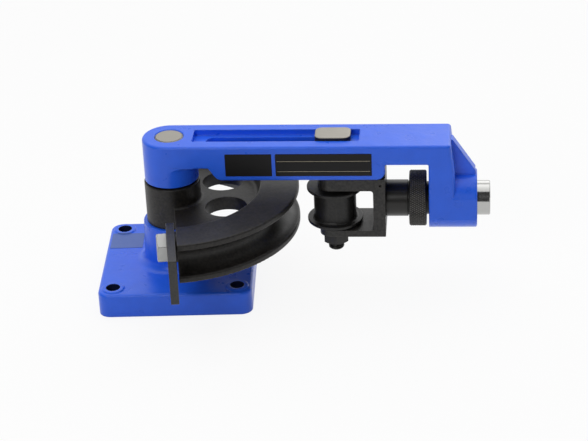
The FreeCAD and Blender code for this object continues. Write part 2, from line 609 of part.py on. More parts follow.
def make_arm():
    solid = arm_body()
    boss_start, boss_radius = BLOCK_END_X - CUT_OVER, END_BOSS_DIA / 2
    boss = turned_about_x([(boss_start, 0, 0), (END_BOSS_X, 0, 0), (END_BOSS_X, boss_radius, END_BOSS_EDGE),
                           (boss_start, boss_radius, 0)])
    boss = boss.common(box(boss_start, END_BOSS_X, -ARM_HALF, ARM_HALF, 0, ARM_TOP_Z))
    rib = side_plate([(RIB_TOP_X - CUT_OVER, RIB_TOP_Z, 0), (RIB_TOP_X, RIB_TOP_Z, RIB_EDGE),
                      (RIB_FOOT_X, RIB_FOOT_Z + CUT_OVER, RIB_EDGE), (RIB_FOOT_X, SCREW_Z, 0),
                      (RIB_TOP_X - CUT_OVER, SCREW_Z, 0)], -RIB_THICKNESS / 2, RIB_THICKNESS / 2)
    solid = solid.fuse([boss, rib])
    channel_width = ARM_WIDTH - 2 * WALL_THICKNESS
    solid = solid.cut(slab(span(CHANNEL_START_X, CHANNEL_END_X, channel_width, CHANNEL_CORNER),
                           WALL_BOTTOM_Z - CUT_OVER, CHANNEL_TOP_Z))
    recess_width = CAP_WIDTH + 2 * RECESS_SIDE_GAP
    solid = solid.cut(slab(span(RECESS_START_X, RECESS_END_X, recess_width, RECESS_CORNER),
                           RECESS_FLOOR_Z, ARM_TOP_Z + CUT_OVER))
    slot_width = ROLLER_BOLT_DIA + 2 * SLOT_SIDE_GAP
    solid = solid.cut(slab(span(SLOT_START_X, SLOT_END_X, slot_width, slot_width / 2 - SLOT_FLAT),
                           CHANNEL_TOP_Z - CUT_OVER, ARM_TOP_Z))
    pin_hole = upright(PIN_DIA + 2 * RUNNING_FIT, KNUCKLE_BOTTOM_Z - CUT_OVER, ARM_TOP_Z + CUT_OVER)
    mouth = Part.makeCone(PIN_DIA / 2, PIN_DIA / 2 + PIN_CHAMFER, PIN_CHAMFER,
                          Vector(0, 0, ARM_TOP_Z - PIN_CHAMFER))
    solid = solid.cut(pin_hole).cut(mouth)
    screw_hole = lying(SCREW_DIA + 2 * RUNNING_FIT, BLOCK_START_X - CUT_OVER,
                       TUBE_SEAT_X - SCREW_HOLE_WALL, 0, SCREW_Z)
    solid = solid.cut(screw_hole)
    solid = solid.cut(lying(TUBE_DIA + 2 * FIXED_FIT, TUBE_SEAT_X, END_BOSS_X + CUT_OVER, 0, SCREW_Z))
    solid = solid.cut(across(TUBE_LOCK_DIA + 2 * FIXED_FIT, 0, END_BOSS_DIA, TUBE_LOCK_X, SCREW_Z))
    return solid.removeSplitter()


def make_arm_label(start, end):
    return box(start, end, -ARM_HALF - LABEL_THICKNESS, -ARM_HALF,
               ARM_LABEL_BOTTOM_Z, ARM_LABEL_BOTTOM_Z + ARM_LABEL_HEIGHT)


def make_lever_tube():
    start = TUBE_SEAT_X + FACE_GAP
    inner, outer = TUBE_DIA / 2 - TUBE_WALL, TUBE_DIA / 2
    return turned_about_x([(start, inner, 0), (TUBE_END_X, inner, 0),
                           (TUBE_END_X, outer - TUBE_CHAMFER, 0), (TUBE_END_X - TUBE_CHAMFER, outer, 0),
                           (start, outer, 0)])


def make_tube_lock_screw():
    start = TUBE_DIA / 2 + FACE_GAP
    return across(TUBE_LOCK_DIA, start, END_BOSS_DIA / 2 - GRUB_INSET, TUBE_LOCK_X, SCREW_Z)


def make_yoke():
    half = YOKE_WIDTH / 2
    side = [(YOKE_START_X, YOKE_BOTTOM_Z, YOKE_EDGE), (YOKE_END_X, YOKE_BOTTOM_Z, YOKE_EDGE),
            (YOKE_END_X, YOKE_TOP_Z, 0), (YOKE_START_X, YOKE_TOP_Z, YOKE_EDGE),
            (YOKE_START_X, YOKE_CEILING_Z, YOKE_EDGE), (YOKE_WALL_X, YOKE_CEILING_Z, YOKE_WINDOW_CORNER),
            (YOKE_WALL_X, YOKE_FLOOR_Z, YOKE_WINDOW_CORNER), (YOKE_START_X, YOKE_FLOOR_Z, YOKE_EDGE)]
    plan = slab([(YOKE_START_X, -half, YOKE_CORNER), (YOKE_END_X, -half, 0), (YOKE_END_X, half, 0),
                 (YOKE_START_X, half, YOKE_CORNER)], YOKE_BOTTOM_Z, YOKE_TOP_Z)
    frame = side_plate(side, -half, half).common(plan)
    guide_width = ARM_WIDTH - 2 * WALL_THICKNESS - 2 * GUIDE_GAP
    guide = slab(span(GUIDE_START_X, YOKE_END_X, guide_width, CHANNEL_CORNER), YOKE_TOP_Z - FUSE_LAP,
                 CHANNEL_TOP_Z - GUIDE_HEAD_GAP)
    below = YOKE_BOTTOM_Z - CUT_OVER
    bolt_hole = upright(ROLLER_BOLT_DIA + 2 * FIXED_FIT, below, ARM_TOP_Z, ROLLER_X)
    spigot_hole = lying(SPIGOT_DIA + 2 * RUNNING_FIT, YOKE_WALL_X + SPIGOT_WALL, YOKE_END_X + CUT_OVER,
                        0, SCREW_Z)
    pin_hole = upright(SWIVEL_PIN_DIA + 2 * FIXED_FIT, below, SWIVEL_PIN_TOP_Z + FACE_GAP,
                       SWIVEL_PIN_X, SWIVEL_PIN_Y)
    dimple = across(DIMPLE_DIA, -half - CUT_OVER, -half + DIMPLE_DEPTH, DIMPLE_X, DIMPLE_Z)
    return frame.fuse(guide).cut([bolt_hole, spigot_hole, pin_hole, dimple])


def make_roller():
    waist, flange = ROLLER_WAIST_DIA / 2, ROLLER_FLANGE_DIA / 2
    bore = ROLLER_BUSH_DIA / 2 + FIXED_FIT
    low, high = ROLLER_BOTTOM_Z, ROLLER_TOP_Z
    waist_low, waist_high = low + ROLLER_FLANGE_THICKNESS, high - ROLLER_FLANGE_THICKNESS
    solid = turned([(bore, low, 0), (flange, low, ROLLER_EDGE), (flange, waist_low, ROLLER_EDGE),
                    (waist, waist_low, ROLLER_FILLET), (waist, waist_high, ROLLER_FILLET),
                    (flange, waist_high, ROLLER_EDGE), (flange, high, ROLLER_EDGE), (bore, high, 0)])
    solid.translate(Vector(ROLLER_X, 0, 0))
    return solid


def make_roller_bush():
    return washer(ROLLER_BUSH_DIA, ROLLER_BOLT_DIA + 2 * RUNNING_FIT, ROLLER_BOTTOM_Z, ROLLER_TOP_Z, ROLLER_X)


def make_roller_washer_upper():
    low = ROLLER_TOP_Z + FACE_GAP
    return washer(ROLLER_WASHER_DIA, ROLLER_BOLT_DIA + 2 * BOLT_FIT, low, YOKE_CEILING_Z, ROLLER_X)


def make_roller_washer_lower():
    high = YOKE_FLOOR_Z + LOWER_WASHER_THICKNESS
    return washer(ROLLER_WASHER_DIA, ROLLER_BOLT_DIA + 2 * BOLT_FIT, YOKE_FLOOR_Z, high, ROLLER_X)


def make_roller_bolt():
    seat = RECESS_FLOOR_Z + FACE_GAP
    cap = slab(rectangle(CAP_LENGTH, CAP_WIDTH, CAP_CORNER, ROLLER_X), seat, CAP_TOP_Z)
    cap = round_edges(cap, CAP_EDGE, lambda b: b.ZMin > CAP_TOP_Z - 0.01)
    radius, low, high = ROLLER_BOLT_DIA / 2, ROLLER_BOLT_END_Z, seat + FUSE_LAP
    shank = turned([(0, low, 0), (radius - BOLT_END_CHAMFER, low, 0), (radius, low + BOLT_END_CHAMFER, 0),
                    (radius, high, 0), (0, high, 0)])
    shank.translate(Vector(ROLLER_X, 0, 0))
    return cap.fuse(shank)


def make_nut_washer():
    return washer(NUT_WASHER_DIA, ROLLER_BOLT_DIA + 2 * BOLT_FIT, NUT_TOP_Z, YOKE_BOTTOM_Z, ROLLER_X)


def make_roller_nut():
    low, high = NUT_BOTTOM_Z, NUT_TOP_Z
    face = NUT_ACROSS_FLATS / 2 - NUT_FACE_INSET
    corner = face + NUT_CHAMFER_RUN
    body = turned([(0, low, 0), (face, low, 0), (corner, low + NUT_CHAMFER_HEIGHT, 0),
                   (corner, high - NUT_CHAMFER_HEIGHT, 0), (face, high, 0), (0, high, 0)])
    hole = upright(ROLLER_BOLT_DIA + 2 * FIXED_FIT, low - CUT_OVER, high + CUT_OVER)
    nut = hexagon(NUT_ACROSS_FLATS, low, high, NUT_TURN).common(body).cut(hole)
    nut.translate(Vector(ROLLER_X, 0, 0))
    return nut


def make_thrust_sleeve():
    low, high = SPIGOT_DIA / 2 + RUNNING_FIT, SLEEVE_DIA / 2
    end = SCREW_NECK_START_X - FACE_GAP
    return turned_about_x([(YOKE_END_X, low, 0), (end, low, 0), (end, high, SLEEVE_EDGE),
                           (YOKE_END_X, high, SLEEVE_EDGE)])


def make_swivel_pin():
    return upright(SWIVEL_PIN_DIA, YOKE_BOTTOM_Z, SWIVEL_PIN_TOP_Z, SWIVEL_PIN_X, SWIVEL_PIN_Y)


def make_feed_screw():
    spigot, groove = SPIGOT_DIA / 2, SPIGOT_GROOVE_DIA / 2
    neck, thread = SCREW_NECK_DIA / 2, SCREW_DIA / 2
    half_groove = SWIVEL_PIN_DIA / 2 + FACE_GAP
    groove_start, groove_end = SWIVEL_PIN_X - half_groove, SWIVEL_PIN_X + half_groove
    return turned_about_x([
        (SPIGOT_START_X, 0, 0), (SPIGOT_START_X, spigot - SPIGOT_CHAMFER, 0),
        (SPIGOT_START_X + SPIGOT_CHAMFER, spigot, 0), (groove_start, spigot, 0), (groove_start, groove, 0),
        (groove_end, groove, 0), (groove_end, spigot, 0), (SCREW_NECK_START_X, spigot, 0),
        (SCREW_NECK_START_X, neck, 0), (SCREW_NECK_END_X, neck, 0), (SCREW_NECK_END_X, thread, 0),
        (SCREW_END_X - BOLT_END_CHAMFER, thread, 0), (SCREW_END_X, thread - BOLT_END_CHAMFER, 0),
        (SCREW_END_X, 0, 0)])


def make_knurled_ring():
    bore, outer = SCREW_NECK_DIA / 2 + FIXED_FIT, RING_DIA / 2
    face = outer - RING_CHAMFER
    ring = turned_about_x([(RING_START_X, bore, 0), (RING_END_X, bore, 0), (RING_END_X, face, 0),
                           (RING_END_X - RING_CHAMFER, outer, 0), (RING_START_X + RING_CHAMFER, outer, 0),
                           (RING_START_X, face, 0)])
    middle = RING_START_X + RING_WIDTH / 2
    return ring.cut(across(GRUB_DIA + 2 * FIXED_FIT, 0, RING_DIA, middle, SCREW_Z))


def make_ring_grub_screw():
    middle = RING_START_X + RING_WIDTH / 2
    return across(GRUB_DIA, SCREW_NECK_DIA / 2 + FACE_GAP, RING_DIA / 2 - GRUB_INSET, middle, SCREW_Z)


PIECES = {
    "base_casting": make_base(),
    "base_label": make_base_label(),
    "pivot_pin": make_pivot_pin(),
    "pivot_lock_screw": make_pivot_lock_screw(),
    "die_dowels": make_die_dowels(),
    "bending_die": make_die(),
    "thrust_washer": make_thrust_washer(),
    "clamp_plate": make_clamp_plate(),
    "clamp_bolt": make_clamp_bolt(),
    "clamp_spacer": make_clamp_spacer(),
    "arm_casting": make_arm(),
    "arm_label_short": make_arm_label(SHORT_LABEL_START_X, SHORT_LABEL_END_X),
    "arm_label_long": make_arm_label(LONG_LABEL_START_X, LONG_LABEL_END_X),
    "lever_tube": make_lever_tube(),
    "tube_lock_screw": make_tube_lock_screw(),
    "yoke": make_yoke(),
    "roller": make_roller(),
    "roller_bush": make_roller_bush(),
    "roller_bolt": make_roller_bolt(),
    "roller_washer_upper": make_roller_washer_upper(),
    "roller_washer_lower": make_roller_washer_lower(),
    "nut_washer": make_nut_washer(),
    "roller_nut": make_roller_nut(),
    "thrust_sleeve": make_thrust_sleeve(),
    "swivel_pin": make_swivel_pin(),
    "feed_screw": make_feed_screw(),
    "knurled_ring": make_knurled_ring(),
    "ring_grub_screw": make_ring_grub_screw(),
}

os.makedirs("parts", exist_ok=True)
for name, shape in PIECES.items():
    shape.exportStep(f"parts/{name}.step")
    print(f"{name}: {len(shape.Solids)} solid, {shape.Volume / 1000:.1f} cm3, valid {shape.isValid()}")
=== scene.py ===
import bpy
import math
import numpy as np
from mathutils import Matrix, Vector


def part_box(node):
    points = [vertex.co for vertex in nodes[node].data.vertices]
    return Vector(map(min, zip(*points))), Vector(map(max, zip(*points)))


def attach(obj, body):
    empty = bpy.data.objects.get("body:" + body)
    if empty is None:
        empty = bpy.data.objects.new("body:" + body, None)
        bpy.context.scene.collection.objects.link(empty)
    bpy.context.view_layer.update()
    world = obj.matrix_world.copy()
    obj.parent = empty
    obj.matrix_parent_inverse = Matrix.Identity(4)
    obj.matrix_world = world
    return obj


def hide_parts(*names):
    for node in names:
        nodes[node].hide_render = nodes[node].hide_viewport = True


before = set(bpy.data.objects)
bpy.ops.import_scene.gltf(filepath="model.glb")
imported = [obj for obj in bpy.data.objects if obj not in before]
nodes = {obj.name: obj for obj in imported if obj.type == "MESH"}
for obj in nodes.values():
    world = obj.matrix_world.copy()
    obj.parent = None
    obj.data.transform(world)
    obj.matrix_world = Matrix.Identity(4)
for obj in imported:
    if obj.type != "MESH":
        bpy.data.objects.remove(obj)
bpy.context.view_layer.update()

mm = 0.001


# small tools shared by the pieces

def linearColour(hexColour):
    # sRGB hex to linear light: c / 12.92 near black, ((c + 0.055) / 1.055) ^ 2.4 above that
    values = np.array([int(hexColour[i:i + 2], 16) / 255 for i in (1, 3, 5)])
    values = np.where(values <= 0.04045, values / 12.92, ((values + 0.055) / 1.055) ** 2.4)
    return (*values.tolist(), 1.0)


def perMm(size):
    # texture scale at which one feature of a pattern is size millimetres, in metre coordinates
    return 1000.0 / size


def addNode(tree, kind, values=None, links=None, **settings):
    # one node: its settings, the values of its sockets and the sockets that feed it
    node = tree.nodes.new(kind)
    for name, value in settings.items():
        setattr(node, name, value)
    for name, value in (values or {}).items():
        node.inputs[name].default_value = value
    for name, source in (links or {}).items():
        tree.links.new(source, node.inputs[name])
    return node


def newFinish(name, **shaderValues):
    # a material with one Principled shader; returns the material, its tree, the shader and its coordinates
    finish = bpy.data.materials.new(name)
    finish.use_nodes = True
    tree = finish.node_tree
    shader = tree.nodes["Principled BSDF"]
    for socket, value in shaderValues.items():
        shader.inputs[socket.replace("_", " ")].default_value = value
    coords = addNode(tree, "ShaderNodeTexCoord").outputs["Object"]
    return finish, tree, shader, coords


def edgeMask(tree, edge, most, start=0.97, full=0.75):
    # From 0 on a flat to most on an edge, by how far the rounded normal leans from the face's own:
    # their dot product is 1 on a flat, cos 22 = 0.93 at a chamfer and cos 45 = 0.71 at a square edge.
    face = addNode(tree, "ShaderNodeNewGeometry")
    lean = addNode(tree, "ShaderNodeVectorMath",
                   links={0: edge.outputs["Normal"], 1: face.outputs["Normal"]}, operation="DOT_PRODUCT")
    return addNode(tree, "ShaderNodeMapRange",
                   {"From Min": start, "From Max": full, "To Min": 0.0, "To Max": most},
                   {"Value": lean.outputs["Value"]})


def shellFaces(points, closed):
    # A grid of rows x columns x 3, whose columns go round. closed joins the last row to the first,
    # otherwise both ends get a pole at the middle of their row. Faces are turned outwards by the
    # sign of the enclosed volume, which is the sum of a . (b x c) / 6 over its triangles.
    rows, columns = points.shape[:2]
    vertices = points.reshape(-1, 3)
    here = np.arange(columns)
    after = np.roll(here, -1)
    low = np.arange(rows if closed else rows - 1)[:, None]
    high = (low + 1) % rows
    quads = np.stack([low * columns + here, low * columns + after,
                      high * columns + after, high * columns + here], axis=-1).reshape(-1, 4)
    triangles = np.concatenate([quads[:, [0, 1, 2]], quads[:, [0, 2, 3]]])
    fans = np.zeros((0, 3), int)
    if not closed:
        first, last = len(vertices), len(vertices) + 1
        vertices = np.concatenate([vertices, points[0].mean(0)[None], points[-1].mean(0)[None]])
        top = (rows - 1) * columns
        fans = np.concatenate([np.stack([after, here, np.full(columns, first)], 1),
                               np.stack([top + here, top + after, np.full(columns, last)], 1)])
        triangles = np.concatenate([triangles, fans])
    a, b, c = (vertices[triangles[:, i]] for i in range(3))
    if np.einsum("ij,ij->i", a, np.cross(b, c)).sum() < 0:
        quads, fans = quads[:, ::-1], fans[:, ::-1]
    return vertices, quads, fans


def makePiece(name, shells, finishes, body, stands, sharp=35):
    # Joins closed shells, each (points, closed), into one mesh in place of the CAD nodes it stands for.
    vertices, faces, offset = [], [], 0
    for points, closed in shells:
        v, quads, fans = shellFaces(points, closed)
        vertices.append(v)
        faces += (quads + offset).tolist() + (fans + offset).tolist()
        offset += len(v)
    mesh = bpy.data.meshes.new(name)
    mesh.from_pydata(np.concatenate(vertices).tolist(), [], faces)
    mesh.validate()
    mesh.polygons.foreach_set("use_smooth", np.ones(len(mesh.polygons), bool))
    mesh.set_sharp_from_angle(angle=math.radians(sharp))
    for finish in finishes:
        mesh.materials.append(finish)
    piece = bpy.data.objects.new(name, mesh)
    bpy.context.scene.collection.objects.link(piece)
    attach(piece, body)
    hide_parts(*stands)
    return piece


def faceCentres(piece):
    centres = np.empty(len(piece.data.polygons) * 3)
    piece.data.polygons.foreach_get("center", centres)
    return centres.reshape(-1, 3)


def aboutAxis(axis, centre, along, radius, turn):
    # places (along, radius, turn) round an axis through centre; the arrays spread to one grid
    along, radius, turn = np.broadcast_arrays(along, radius, turn)
    side, rise = radius * np.cos(turn), radius * np.sin(turn)
    parts = {"x": (along, side, rise), "y": (side, along, rise), "z": (side, rise, along)}[axis]
    return np.stack(parts, -1) + np.array(centre)


def triangleWave(phase):
    # 0 at whole numbers, 1 half way between them
    return 1 - np.abs(2 * (phase % 1) - 1)


def roundedOutline(halfX, halfY, corner, steps=8):
    # closed outline of a rounded rectangle: four quarter arcs of the corner radius
    turn = np.linspace(0, math.pi / 2, steps + 1)
    quarter = np.concatenate([turn + i * math.pi / 2 for i in range(4)])
    signX = np.repeat([1, -1, -1, 1], steps + 1)
    signY = np.repeat([1, 1, -1, -1], steps + 1)
    x = signX * (halfX - corner) + corner * np.cos(quarter)
    y = signY * (halfY - corner) + corner * np.sin(quarter)
    return np.stack([x, y], -1)


# camera at the photograph's angle: metres, radians, millimetres of lens and sensor
cameraPlace = dict(place=(0.2892, -1.8041, 1.0239), yaw=-0.0931, pitch=-0.4864, roll=-0.0456,
                   lens=124.35, sensor=36.0, near=0.05, far=50.0)


def placeCamera(c):
    yaw, pitch, roll = c["yaw"], c["pitch"], c["roll"]
    ahead = np.array([math.sin(yaw) * math.cos(pitch), math.cos(yaw) * math.cos(pitch), math.sin(pitch)])
    level = np.array([math.cos(yaw), -math.sin(yaw), 0.0])
    upright = np.cross(level, ahead)
    right = level * math.cos(roll) + upright * math.sin(roll)
    up = -level * math.sin(roll) + upright * math.cos(roll)
    data = bpy.data.cameras.new("benderCamera")
    data.lens, data.sensor_width, data.sensor_fit = c["lens"], c["sensor"], "HORIZONTAL"
    data.clip_start, data.clip_end = c["near"], c["far"]
    camera = bpy.data.objects.new("benderCamera", data)
    turned = Matrix(np.stack([right, up, -ahead], 1).tolist())
    camera.matrix_world = Matrix.Translation(Vector(c["place"])) @ turned.to_4x4()
    bpy.context.scene.collection.objects.link(camera)
    bpy.context.scene.camera = camera


placeCamera(cameraPlace)
print("camera placed")


# pale paper floor, a room that is dark behind the camera and bright behind the object, soft boxes
studio = dict(
    floorColour="#ececec", floorRoughness=0.9, floorReach=4.0, floorDrop=0.1 * mm, floorGlow=0.9,
    roomFront=0.06, roomBack=1.05, roomTurn=(-0.35, 0.75),
    boxes=[  # name, place, aimed at, width, depth, watts
        ("overheadBox", (0.1, 0.1, 1.75), (0.1, 0.0, 0.1), 2.4, 1.8, 16.0),
        ("frontBox", (-0.5, -1.7, 1.15), (0.12, 0.0, 0.1), 1.1, 0.7, 12.0),
        ("backBox", (0.7, 1.6, 0.95), (0.15, 0.0, 0.1), 1.1, 0.9, 3.0),
    ],
)


def seenDirectly(tree):
    # 1 for rays from the camera and for those that metal or gloss sends on, 0 for the rest
    path = addNode(tree, "ShaderNodeLightPath")
    seen = path.outputs["Is Camera Ray"]
    for other in ("Is Glossy Ray", "Is Transmission Ray"):
        seen = addNode(tree, "ShaderNodeMath", links={0: seen, 1: path.outputs[other]},
                       operation="MAXIMUM").outputs[0]
    return seen


def makeFloor(s):
    reach = s["floorReach"]
    mesh = bpy.data.meshes.new("studioFloor")
    z = -s["floorDrop"]  # a hair under the base, whose underside would flicker in the same plane
    mesh.from_pydata([(-reach, -reach, z), (reach, -reach, z), (reach, reach, z), (-reach, reach, z)],
                     [], [(0, 1, 2, 3)])
    finish, tree, shader, _ = newFinish("whitePaperSweep", Base_Color=linearColour(s["floorColour"]),
                                        Roughness=s["floorRoughness"], Specular_IOR_Level=0.0)
    # paper for the lamps, part glow where it is looked at, so that it stays white and keeps the shadow
    looks = addNode(tree, "ShaderNodeMath", {1: s["floorGlow"]}, {0: seenDirectly(tree)},
                    operation="MULTIPLY")
    glow = addNode(tree, "ShaderNodeEmission", {"Color": (1, 1, 1, 1), "Strength": 1.0})
    both = addNode(tree, "ShaderNodeMixShader", links={0: looks.outputs[0], 1: shader.outputs[0],
                                                       2: glow.outputs[0]})
    tree.links.new(both.outputs[0], tree.nodes["Material Output"].inputs["Surface"])
    mesh.materials.append(finish)
    floor = bpy.data.objects.new("studioFloor", mesh)
    bpy.context.scene.collection.objects.link(floor)


def makeRoom(s):
    # Plain grey light whose strength rises with the direction's y, from roomFront behind the camera
    # to roomBack behind the object, so gloss and metal find white behind the object and a dark side
    # behind the camera. The camera itself sees white where it looks past the floor.
    world = bpy.data.worlds.new("studioRoom")
    bpy.context.scene.world = world
    world.use_nodes = True
    tree = world.node_tree
    room = tree.nodes["Background"]
    room.inputs["Color"].default_value = (1, 1, 1, 1)
    way = addNode(tree, "ShaderNodeTexCoord")
    split = addNode(tree, "ShaderNodeSeparateXYZ", links={0: way.outputs["Generated"]})
    rise = addNode(tree, "ShaderNodeMapRange",
                   {"From Min": s["roomTurn"][0], "From Max": s["roomTurn"][1],
                    "To Min": s["roomFront"], "To Max": s["roomBack"]},
                   {"Value": split.outputs["Y"]}, interpolation_type="SMOOTHSTEP")
    tree.links.new(rise.outputs[0], room.inputs["Strength"])
    white = addNode(tree, "ShaderNodeBackground", {"Color": (1, 1, 1, 1), "Strength": 1.0})
    path = addNode(tree, "ShaderNodeLightPath")
    both = addNode(tree, "ShaderNodeMixShader", links={0: path.outputs["Is Camera Ray"],
                                                       1: room.outputs[0], 2: white.outputs[0]})
    tree.links.new(both.outputs[0], tree.nodes["World Output"].inputs["Surface"])


def makeBoxes(s):
    for name, place, aim, width, depth, watts in s["boxes"]:
        data = bpy.data.lights.new(name, "AREA")
        data.shape, data.size, data.size_y, data.energy = "RECTANGLE", width, depth, watts
        lamp = bpy.data.objects.new(name, data)
        lamp.location = place
        lamp.rotation_mode = "QUATERNION"
        lamp.rotation_quaternion = (Vector(aim) - Vector(place)).to_track_quat("-Z", "Y")
        bpy.context.scene.collection.objects.link(lamp)


makeFloor(studio)
makeRoom(studio)
makeBoxes(studio)
bpy.context.scene.view_settings.view_transform = "Standard"
print("studio ready")


enamelLook = dict(name="royalBlueEnamelOnCastIron", colour="#2869f4", deep="#215ee2", roughness=0.28,
                  glossSpread=(-0.05, 0.08), edge=1.4 * mm, peel=2.6, peelDepth=0.11 * mm, skin=15.0,
                  skinDepth=0.3 * mm)
# the base's four bolt holes lie on a square turned with the casting and get painted shade; the mask's
# radius is a little wider than theirs, so that it covers their walls
baseLook = dict(enamelLook, name="royalBlueEnamelWithShadedHoles",
                bores=dict(centre=(1.855 * mm, -1.114 * mm), turn=2.7, apart=62.0 * mm, radius=7.1 * mm,
                           holeShade="#131d42"))


def boreShadeMask(tree, coords, h):
    # 1 inside the four bolt holes, where shade is painted, in coordinates turned back to the square base:
    # (|x - cx| - apart)^2 + (|y - cy| - apart)^2 < radius^2
    square = addNode(tree, "ShaderNodeVectorRotate",
                     {"Center": (*h["centre"], 0), "Angle": math.radians(-h["turn"])}, {"Vector": coords},
                     rotation_type="Z_AXIS")
    split = addNode(tree, "ShaderNodeSeparateXYZ", links={0: square.outputs[0]})
    squares = []
    for axis, centre in zip("XY", h["centre"]):
        moved = addNode(tree, "ShaderNodeMath", {1: centre}, {0: split.outputs[axis]},
                        operation="SUBTRACT")
        mirrored = addNode(tree, "ShaderNodeMath", links={0: moved.outputs[0]}, operation="ABSOLUTE")
        off = addNode(tree, "ShaderNodeMath", {1: h["apart"]}, {0: mirrored.outputs[0]},
                      operation="SUBTRACT")
        squares.append(addNode(tree, "ShaderNodeMath", {1: 2.0}, {0: off.outputs[0]}, operation="POWER"))
    both = addNode(tree, "ShaderNodeMath", links={0: squares[0].outputs[0], 1: squares[1].outputs[0]},
                   operation="ADD")
    return addNode(tree, "ShaderNodeMath", {1: h["radius"] ** 2}, {0: both.outputs[0]},
                   operation="LESS_THAN")


def glossEnamel(e):
    # Royal-blue machine enamel sprayed on sand-cast iron. It gives a clear gloss over an orange-peel
    # skin that still shows the casting's slow waves, a little deeper in colour in their hollows. Bolt
    # holes get a dark navy painted shade on their walls.
    finish, tree, shader, coords = newFinish(e["name"], IOR=1.45)
    peel = addNode(tree, "ShaderNodeTexNoise", {"Scale": perMm(e["peel"]), "Detail": 2.0},
                   {"Vector": coords})
    skin = addNode(tree, "ShaderNodeTexNoise", {"Scale": perMm(e["skin"]), "Detail": 2.0},
                   {"Vector": coords})
    tint = addNode(tree, "ShaderNodeMix", {6: linearColour(e["deep"]), 7: linearColour(e["colour"])},
                   {"Factor": skin.outputs["Fac"]}, data_type="RGBA")
    if "bores" in e:
        # painted shade: the holes' walls take a dark navy in place of the blue
        tint = addNode(tree, "ShaderNodeMix", {7: linearColour(e["bores"]["holeShade"])},
                       {"Factor": boreShadeMask(tree, coords, e["bores"]).outputs[0], 6: tint.outputs[2]},
                       data_type="RGBA")
    tree.links.new(tint.outputs[2], shader.inputs["Base Color"])
    smooth, dull = (e["roughness"] + change for change in e["glossSpread"])
    gloss = addNode(tree, "ShaderNodeMapRange", {"To Min": smooth, "To Max": dull},
                    {"Value": skin.outputs["Fac"]})
    tree.links.new(gloss.outputs[0], shader.inputs["Roughness"])
    edge = addNode(tree, "ShaderNodeBevel", {"Radius": e["edge"]}, samples=4)
    rolling = addNode(tree, "ShaderNodeBump", {"Distance": e["skinDepth"]},
                      {"Height": skin.outputs["Fac"], "Normal": edge.outputs["Normal"]})
    pebbled = addNode(tree, "ShaderNodeBump", {"Distance": e["peelDepth"]},
                      {"Height": peel.outputs["Fac"], "Normal": rolling.outputs[0]})
    tree.links.new(pebbled.outputs[0], shader.inputs["Normal"])
    return finish


# the pale grey mixed in along the edges below is a painted highlight
blackLook = dict(name="satinBlackOnMachinedIron", colour="#101010", worn="#252423", paintedGlint="#6b6762",
                 edgeGlintAmount=0.5, roughness=0.4, shine=0.38, edge=0.8 * mm, grit=2.2, gritDepth=0.04 * mm,
                 speckle=(0.3, 0.7), patch=14.0, glossSpread=(-0.07, 0.1))
dieLook = dict(blackLook, name="satinBlackOnCastIron", colour="#121110", worn="#2b2825", shine=0.35,
               edge=1.6 * mm, edgeGlintAmount=0.3, grit=2.8, gritDepth=0.05 * mm)
plateLook = dict(blackLook, name="satinBlackOnCutPlate", colour="#141413", worn="#2b2a28", shine=0.55,
                 edge=1.2 * mm, edgeGlintAmount=0.7)
yokeLook = dict(blackLook, name="satinBlackOnForging", worn="#33312f", grit=2.6, gritDepth=0.05 * mm)


def satinBlack(b):
    # Satin black paint over iron: near black with a broad soft shine, fine grit, faint handling
    # patches, and a painted highlight of lighter grey along the edges. The grit is 2.2 to 2.8 mm apart,
    # coarser than real, to show at all.
    finish, tree, shader, coords = newFinish(b["name"], IOR=1.5, Specular_IOR_Level=b["shine"])
    grit = addNode(tree, "ShaderNodeTexNoise", {"Scale": perMm(b["grit"]), "Detail": 3.0},
                   {"Vector": coords})
    patch = addNode(tree, "ShaderNodeTexNoise", {"Scale": perMm(b["patch"]), "Detail": 3.0},
                    {"Vector": coords})
    speck = addNode(tree, "ShaderNodeMapRange", dict(zip(("From Min", "From Max"), b["speckle"])),
                    {"Value": grit.outputs["Fac"]})
    tint = addNode(tree, "ShaderNodeMix", {6: linearColour(b["colour"]), 7: linearColour(b["worn"])},
                   {"Factor": speck.outputs[0]}, data_type="RGBA")
    edge = addNode(tree, "ShaderNodeBevel", {"Radius": b["edge"]}, samples=4)
    # painted highlight: edges lightened towards a pale grey
    edgeGlintMask = edgeMask(tree, edge, b["edgeGlintAmount"])
    paintedGlint = addNode(tree, "ShaderNodeMix", {7: linearColour(b["paintedGlint"])},
                     {"Factor": edgeGlintMask.outputs[0], 6: tint.outputs[2]}, data_type="RGBA")
    tree.links.new(paintedGlint.outputs[2], shader.inputs["Base Color"])
    smooth, dull = (b["roughness"] + change for change in b["glossSpread"])
    shine = addNode(tree, "ShaderNodeMapRange", {"To Min": smooth, "To Max": dull},
                    {"Value": patch.outputs["Fac"]})
    tree.links.new(shine.outputs[0], shader.inputs["Roughness"])
    rough = addNode(tree, "ShaderNodeBump", {"Distance": b["gritDepth"]},
                    {"Height": grit.outputs["Fac"], "Normal": edge.outputs["Normal"]})
    tree.links.new(rough.outputs[0], shader.inputs["Normal"])
    return finish


oxideLook = dict(name="blackOxideTurnedSteel", colour="#191817", cloud="#23211e", roughness=0.32,
                 shine=0.38, edge=0.4 * mm, cloudSize=7.0, turning=0.9, turningStretch=0.04,
                 turningDepth=0.02 * mm)
# a lighter oxide for the painted highlight on the knurl's peaks
glintPeakLook = dict(oxideLook, name="glintPeakBlackOxide", colour="#55524e", cloud="#66625c")


